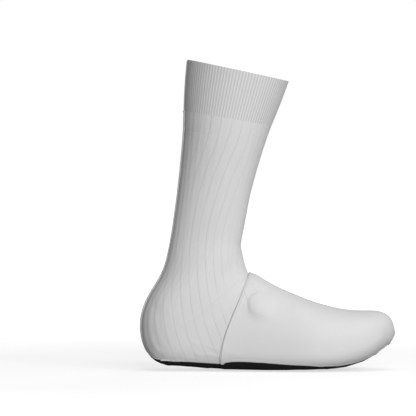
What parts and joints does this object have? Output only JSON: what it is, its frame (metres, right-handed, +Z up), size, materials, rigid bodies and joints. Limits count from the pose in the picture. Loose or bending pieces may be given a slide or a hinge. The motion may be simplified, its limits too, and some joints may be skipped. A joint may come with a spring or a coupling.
{
  "type": "cycling overshoe",
  "caption": "Tall knit cover for a right cycling shoe and calf: ribbed cuff, striped leg, smooth front cover, back seam and a sole open at heel and cleat.",
  "frame": {"origin": "where the shod foot sits: on the inner face of the sole panel, on its centreline, between the heel and cleat openings", "axes": "+X from heel to toe, +Z up, +Y to the inner side of the right foot, so the outer side faces -Y"},
  "size_m": [0.2917, 0.105, 0.3536],
  "materials": {
    "rib_knit": "white ribbed knit",
    "leg_knit": "white striped stretch knit",
    "cover_fabric": "smooth white coated stretch fabric",
    "sole_fabric": "matt black hard-wearing fabric"
  },
  "bodies": {
    "root": {"cuff": "rib_knit", "leg_panel": "leg_knit", "back_seam": "leg_knit", "vamp_panel": "cover_fabric", "vamp_edge": "cover_fabric", "sole_panel": "sole_fabric"}
  },
  "joints": []
}
